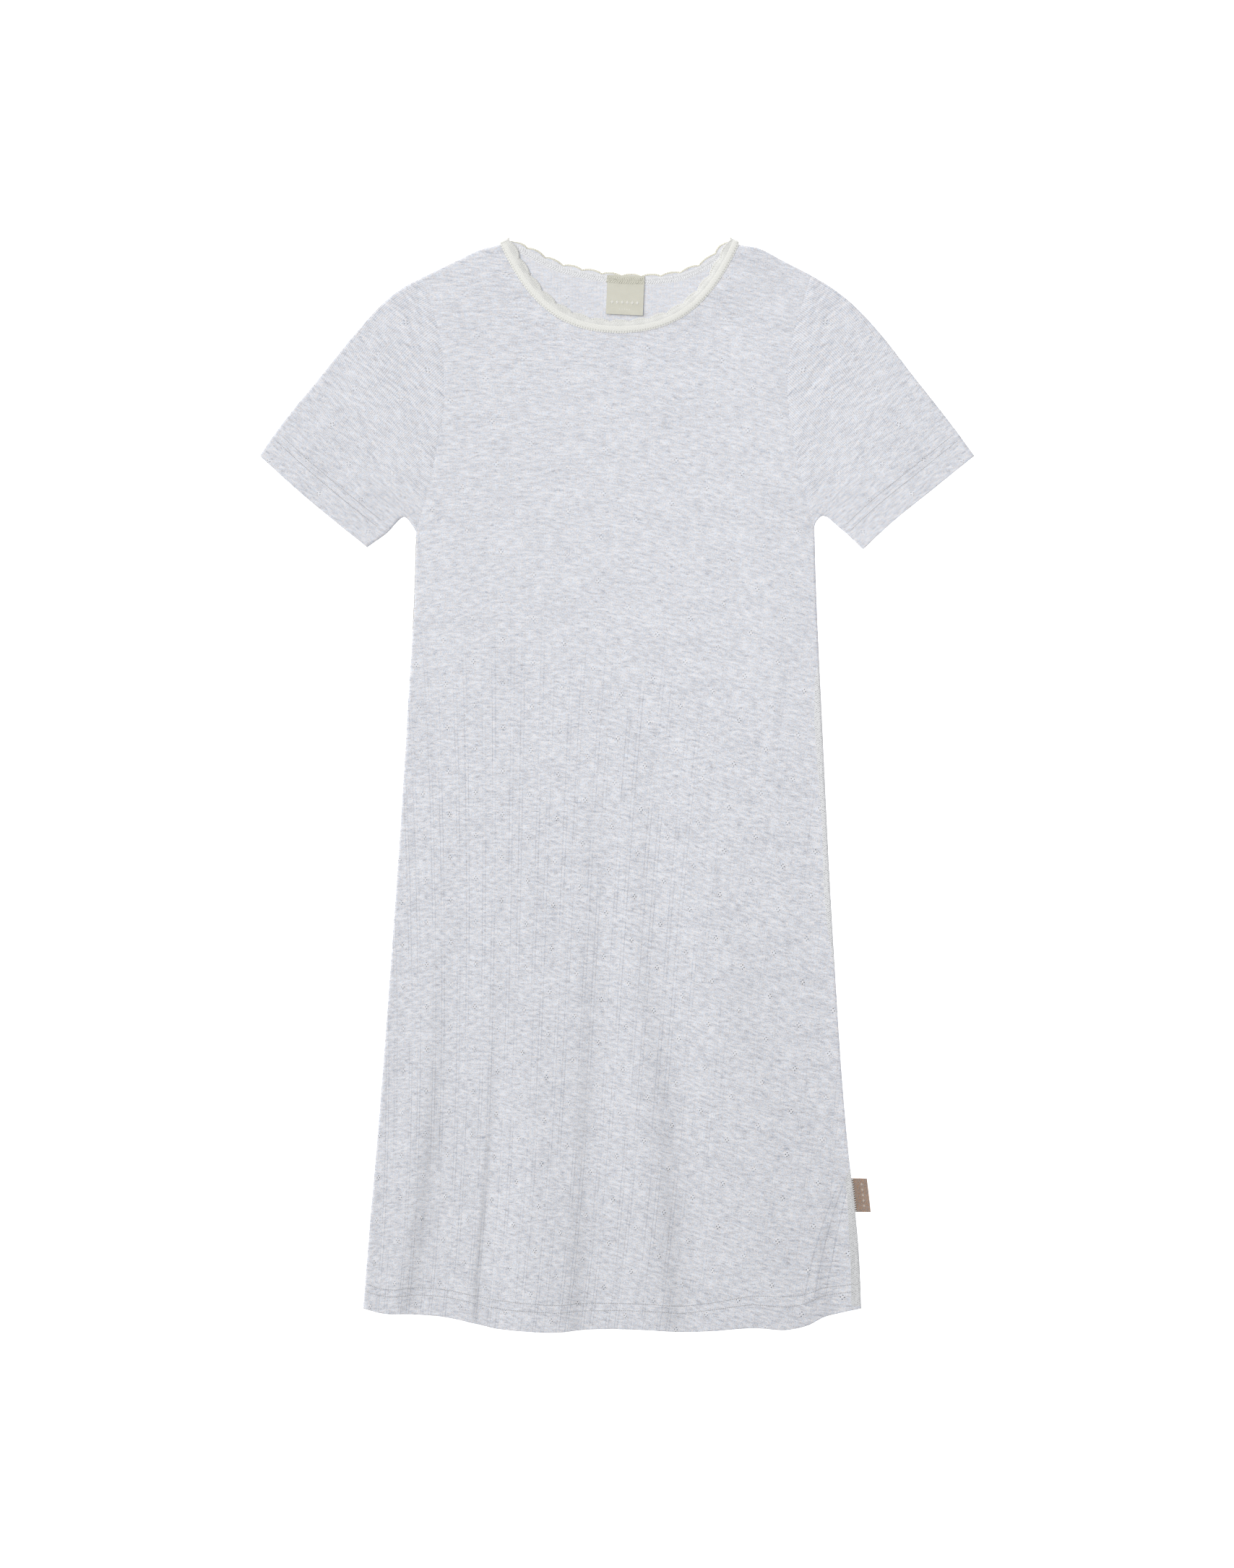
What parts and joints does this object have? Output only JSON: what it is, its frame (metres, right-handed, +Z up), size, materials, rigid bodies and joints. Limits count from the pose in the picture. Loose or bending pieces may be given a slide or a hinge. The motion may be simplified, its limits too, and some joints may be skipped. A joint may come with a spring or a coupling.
{
  "type": "t-shirt dress laid flat",
  "caption": "Child's short-sleeved A-line t-shirt dress in ribbed jersey with a scooped neck edged in scalloped elastic trim, laid flat.",
  "frame": {"origin": "on the plane that the dress lies on, under the middle of the outline's bounding box", "axes": "+X to the right seen from above, +Y from the hem to the neck along the dress, +Z up, out of the front"},
  "size_m": [0.4797, 0.7348, 0.0084],
  "materials": {
    "heather_jersey": "matte",
    "cream_elastic": "matte",
    "sage_label": "satin",
    "brown_label": "satin"
  },
  "bodies": {
    "root": {"front_panel": "heather_jersey", "back_panel": "heather_jersey", "sleeve_left": "heather_jersey", "sleeve_right": "heather_jersey", "neck_trim": "cream_elastic", "neck_label": "sage_label", "side_label": "brown_label"}
  },
  "joints": []
}
